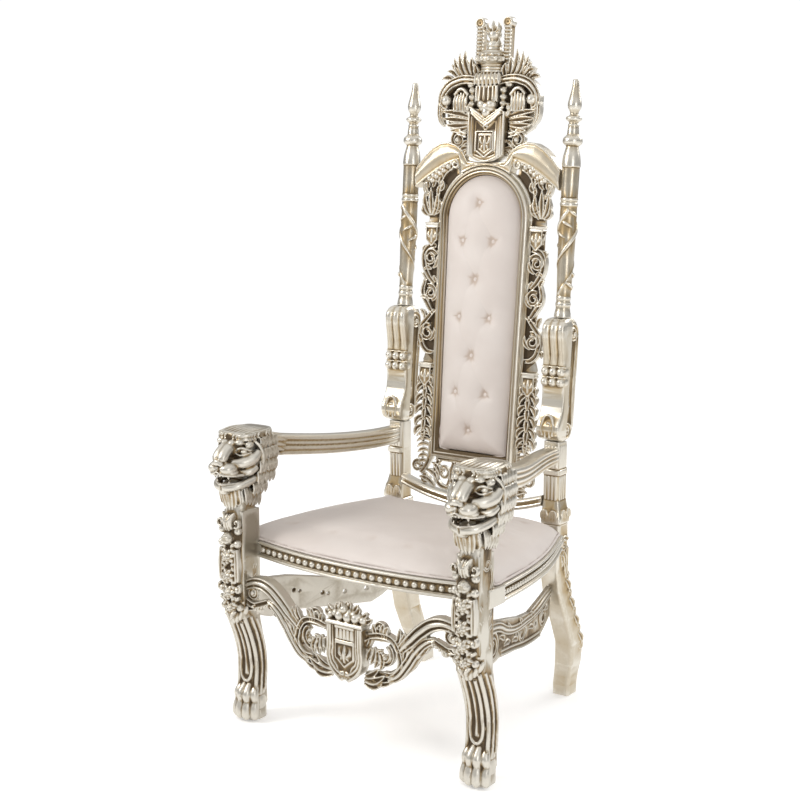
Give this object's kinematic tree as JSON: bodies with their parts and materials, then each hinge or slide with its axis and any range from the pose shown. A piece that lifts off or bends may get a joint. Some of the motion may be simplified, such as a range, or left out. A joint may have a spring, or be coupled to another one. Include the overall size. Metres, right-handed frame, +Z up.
{
  "type": "carved throne chair",
  "caption": "High-backed carved throne with lion-head arms, paw feet, pierced aprons and bands, turned posts, a scrolled crest and a buttoned padded back and seat.",
  "frame": {"origin": "centre of the chair's footprint box, on the floor", "axes": "+Z up, -Y to the front, +X to the right of someone looking at the front"},
  "size_m": [0.8714, 0.801, 1.8697],
  "materials": {
    "leaf_wood": "champagne-silver leaf on carved wood, satin, dark in the recesses",
    "upholstery": "off-white satin upholstery cloth"
  },
  "bodies": {
    "root": {"front_leg_left": "leaf_wood", "front_leg_right": "leaf_wood", "back_leg_left": "leaf_wood", "back_leg_right": "leaf_wood", "armrest_left": "leaf_wood", "armrest_right": "leaf_wood", "seat_rail_left": "leaf_wood", "seat_rail_right": "leaf_wood", "apron_left": "leaf_wood", "apron_right": "leaf_wood", "fretwork_left": "leaf_wood", "fretwork_right": "leaf_wood", "console_left": "leaf_wood", "console_right": "leaf_wood", "post_left": "leaf_wood", "post_right": "leaf_wood", "seat_rail_front": "leaf_wood", "seat_rail_back": "leaf_wood", "apron_front": "leaf_wood", "apron_back": "leaf_wood", "lower_back_rail": "leaf_wood", "lower_fretwork": "leaf_wood", "back_frame": "leaf_wood", "top_rail": "leaf_wood", "crest": "leaf_wood", "seat_cushion": "upholstery", "back_cushion": "upholstery", "back_panel": "upholstery", "button_01": "upholstery", "button_02": "upholstery", "button_03": "upholstery", "button_04": "upholstery", "button_05": "upholstery", "button_06": "upholstery", "button_07": "upholstery", "button_08": "upholstery", "button_09": "upholstery", "button_10": "upholstery"}
  },
  "joints": []
}
